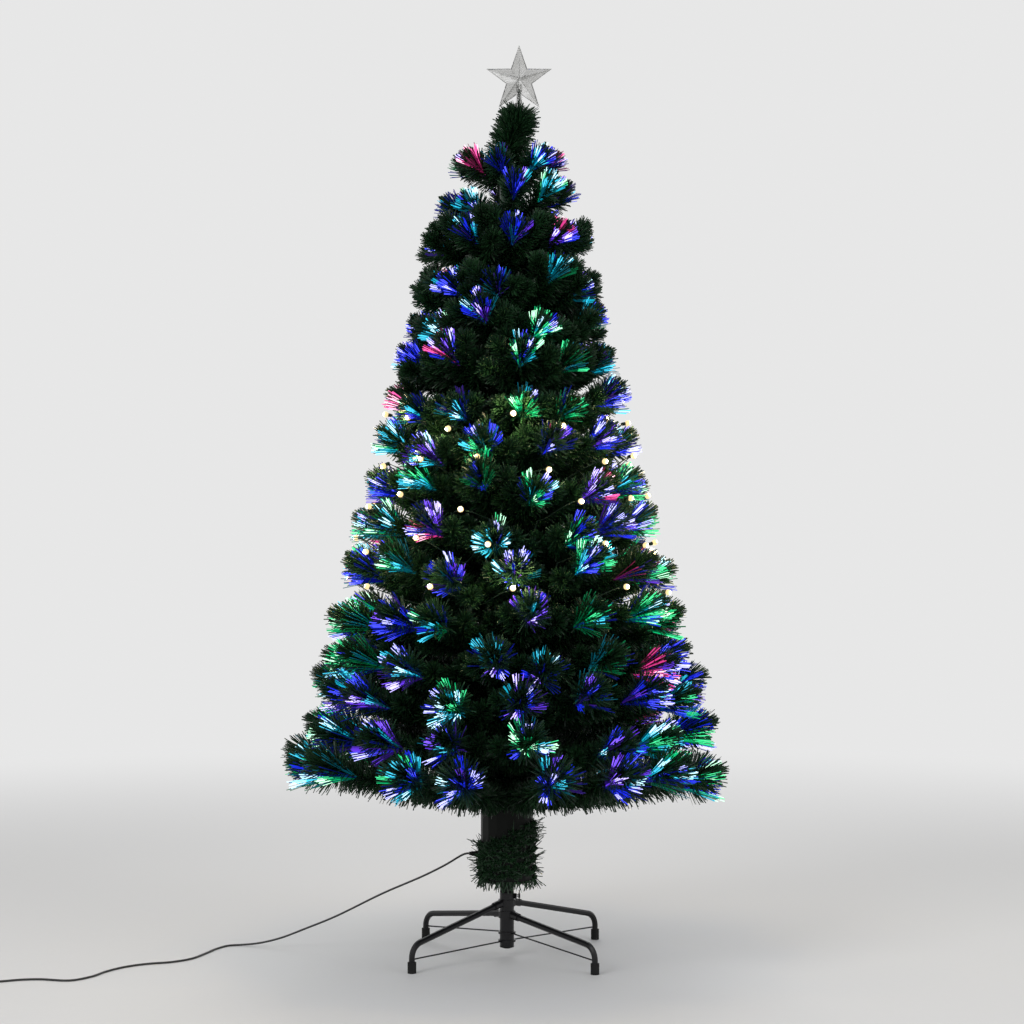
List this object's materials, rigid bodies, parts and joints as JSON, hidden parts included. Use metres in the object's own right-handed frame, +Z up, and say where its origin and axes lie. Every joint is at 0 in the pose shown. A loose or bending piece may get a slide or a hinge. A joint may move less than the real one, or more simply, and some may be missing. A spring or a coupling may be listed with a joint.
{
  "type": "fibre optic christmas tree",
  "caption": "Conical artificial tree with rings of bottle-brush branches lit by optical fibres, a clear star, a round lamp housing and a folding four-legged stand.",
  "frame": {"origin": "on the floor, under the middle of the trunk", "axes": "+Z up along the trunk, +X to the viewer's right, -Y towards the viewer"},
  "size_m": [1.5264, 0.8762, 1.8005],
  "materials": {
    "black_steel": "satin",
    "bright_steel": "satin",
    "black_plastic": "satin",
    "cap_rubber": "matte",
    "pale_plastic": "satin",
    "board_green": "satin",
    "lamp_glass": "gloss",
    "trunk_green": "satin",
    "needle_green": "satin",
    "string_wire": "satin",
    "string_lamp": "gloss",
    "fibre_blue": "gloss",
    "fibre_cyan": "gloss",
    "fibre_green": "gloss",
    "fibre_pink": "gloss",
    "fibre_violet": "gloss",
    "fibre_white": "gloss",
    "clear_star": "gloss",
    "cord_black": "satin"
  },
  "bodies": {
    "stand": {"stand_tube": "black_steel", "stand_tube_plug": "black_plastic", "lower_leg_collar": "black_steel", "lower_brace": "black_steel", "lower_leg_a": "black_steel", "lower_leg_b": "black_steel", "lower_foot_cap_a": "cap_rubber", "lower_foot_cap_b": "cap_rubber"},
    "upper_legs": {"upper_leg_collar": "black_steel", "upper_brace": "black_steel", "upper_leg_a": "black_steel", "upper_leg_b": "black_steel", "upper_foot_cap_a": "cap_rubber", "upper_foot_cap_b": "cap_rubber"},
    "clamp_screw": {"clamp_screw": "bright_steel"},
    "clamp_wing": {"clamp_wing": "black_steel"},
    "base_section": {"post": "black_steel", "housing_floor": "black_plastic", "housing_shell": "black_plastic", "housing_lid": "black_plastic", "chassis": "pale_plastic", "driver_board": "board_green", "lamp": "lamp_glass", "wheel_motor": "bright_steel", "ferrule": "bright_steel", "cable_gland": "black_plastic", "trunk_wrap": "needle_green", "trunk_lower": "trunk_green", "fibre_bundle_lower": "fibre_blue", "branch_tier_01": "needle_green", "branch_tier_02": "needle_green", "branch_tier_03": "needle_green", "branch_tier_04": "needle_green", "power_cord": "cord_black", "cord_coil": "cord_black", "adapter": "black_plastic", "plug_blade_a": "bright_steel", "plug_blade_b": "bright_steel"},
    "colour_wheel": {"colour_wheel": "pale_plastic"},
    "middle_section": {"trunk_middle": "trunk_green", "fibre_bundle_middle": "fibre_blue", "branch_tier_05": "needle_green", "branch_tier_06": "needle_green", "branch_tier_07": "needle_green", "branch_tier_08": "needle_green", "branch_tier_09": "needle_green", "branch_tier_10": "needle_green", "lamp_string": "string_wire"},
    "top_section": {"trunk_upper": "trunk_green", "fibre_bundle_upper": "fibre_blue", "branch_tier_11": "needle_green", "branch_tier_12": "needle_green", "branch_tier_13": "needle_green", "branch_tier_14": "needle_green", "branch_tier_15": "needle_green", "branch_tier_16": "needle_green", "leader": "needle_green"},
    "star": {"star_front": "clear_star", "star_back": "clear_star"}
  },
  "joints": [
    {"name": "stand_fold", "type": "hinge", "parent": "stand", "child": "upper_legs", "pos_m": [0, 0, 0.105], "axis": [0, 0, 1], "range_deg": [0, 78]},
    {"name": "clamp_travel", "type": "slide", "parent": "stand", "child": "clamp_screw", "axis": [1, 0, 0], "range_m": [0, 0.006]},
    {"name": "clamp_turn", "type": "hinge", "parent": "clamp_screw", "child": "clamp_wing", "pos_m": [0.0243, 0, 0.1185], "axis": [1, 0, 0], "range_deg": [0, 2160]},
    {"name": "tree_lift", "type": "slide", "parent": "stand", "child": "base_section", "axis": [0, 0, 1], "range_m": [0, 0.09]},
    {"name": "wheel_spin", "type": "hinge", "parent": "base_section", "child": "colour_wheel", "pos_m": [0, 0.0185, 0.226], "axis": [0, 0, 1], "continuous": true},
    {"name": "middle_lift", "type": "slide", "parent": "base_section", "child": "middle_section", "axis": [0, 0, 1], "range_m": [0, 0.055]},
    {"name": "top_lift", "type": "slide", "parent": "middle_section", "child": "top_section", "axis": [0, 0, 1], "range_m": [0, 0.055]},
    {"name": "star_lift", "type": "slide", "parent": "top_section", "child": "star", "axis": [0, 0, 1], "range_m": [0, 0.025]}
  ],
  "couplings": [
    {"joint": "clamp_turn", "follows": "clamp_travel", "rad_per_m": 6283.2}
  ]
}
